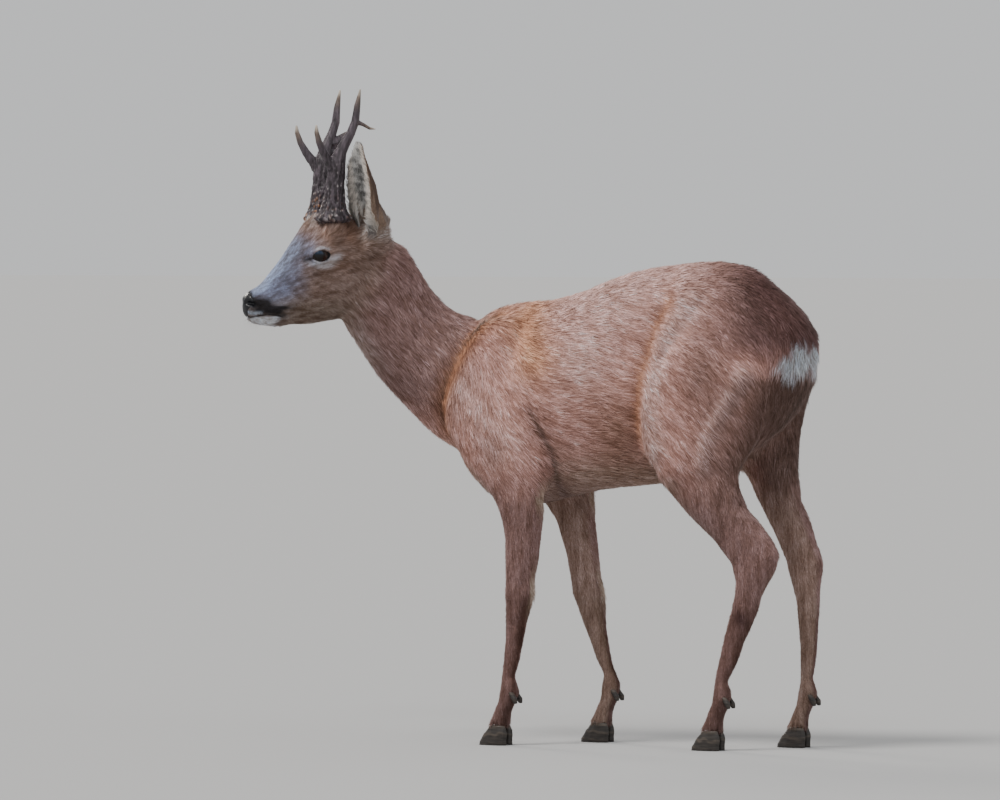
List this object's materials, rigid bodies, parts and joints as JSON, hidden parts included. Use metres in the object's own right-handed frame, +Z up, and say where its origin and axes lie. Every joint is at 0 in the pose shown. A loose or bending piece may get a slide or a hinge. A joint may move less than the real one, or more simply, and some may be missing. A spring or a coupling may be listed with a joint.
{
  "type": "roe deer",
  "caption": "Life-size roebuck that stands on all fours in its red-brown coat and looks round to its left, with short rough antlers, a pale rump patch and cloven hooves",
  "frame": {"origin": "on the floor, below the middle of the bounding box", "axes": "+Z up, the trunk along X with the head towards -X, the animal's left side towards -Y, soles at Z = 0"},
  "size_m": [0.8688, 0.3454, 1.0172],
  "materials": {
    "coat": "short dense hair",
    "nose": "moist pebbled skin",
    "eye": "wet gloss",
    "antler": "rough bone with polished tips",
    "hoof": "satin horn"
  },
  "bodies": {
    "root": {"antler_left_beam": "antler", "antler_left_front_tine": "antler", "antler_left_rear_tine": "antler", "antler_left_top": "antler", "antler_right_beam": "antler", "antler_right_front_tine": "antler", "antler_right_rear_tine": "antler", "antler_right_top": "antler", "belly": "coat", "chest": "coat", "ear_left": "coat", "ear_right": "coat", "eye_left": "eye", "eye_right": "eye", "foreleg_left_cannon": "coat", "foreleg_left_dewclaw_inner": "hoof", "foreleg_left_dewclaw_outer": "hoof", "foreleg_left_forearm": "coat", "foreleg_left_hoof_inner": "hoof", "foreleg_left_hoof_outer": "hoof", "foreleg_left_pastern": "coat", "foreleg_left_shoulder": "coat", "foreleg_right_cannon": "coat", "foreleg_right_dewclaw_inner": "hoof", "foreleg_right_dewclaw_outer": "hoof", "foreleg_right_forearm": "coat", "foreleg_right_hoof_inner": "hoof", "foreleg_right_hoof_outer": "hoof", "foreleg_right_pastern": "coat", "foreleg_right_shoulder": "coat", "head": "coat", "hindleg_left_cannon": "coat", "hindleg_left_dewclaw_inner": "hoof", "hindleg_left_dewclaw_outer": "hoof", "hindleg_left_hoof_inner": "hoof", "hindleg_left_hoof_outer": "hoof", "hindleg_left_pastern": "coat", "hindleg_left_shank": "coat", "hindleg_left_thigh": "coat", "hindleg_right_cannon": "coat", "hindleg_right_dewclaw_inner": "hoof", "hindleg_right_dewclaw_outer": "hoof", "hindleg_right_hoof_inner": "hoof", "hindleg_right_hoof_outer": "hoof", "hindleg_right_pastern": "coat", "hindleg_right_shank": "coat", "hindleg_right_thigh": "coat", "jaw": "coat", "neck": "coat", "nose": "nose", "rump": "coat", "tail": "coat"}
  },
  "joints": []
}
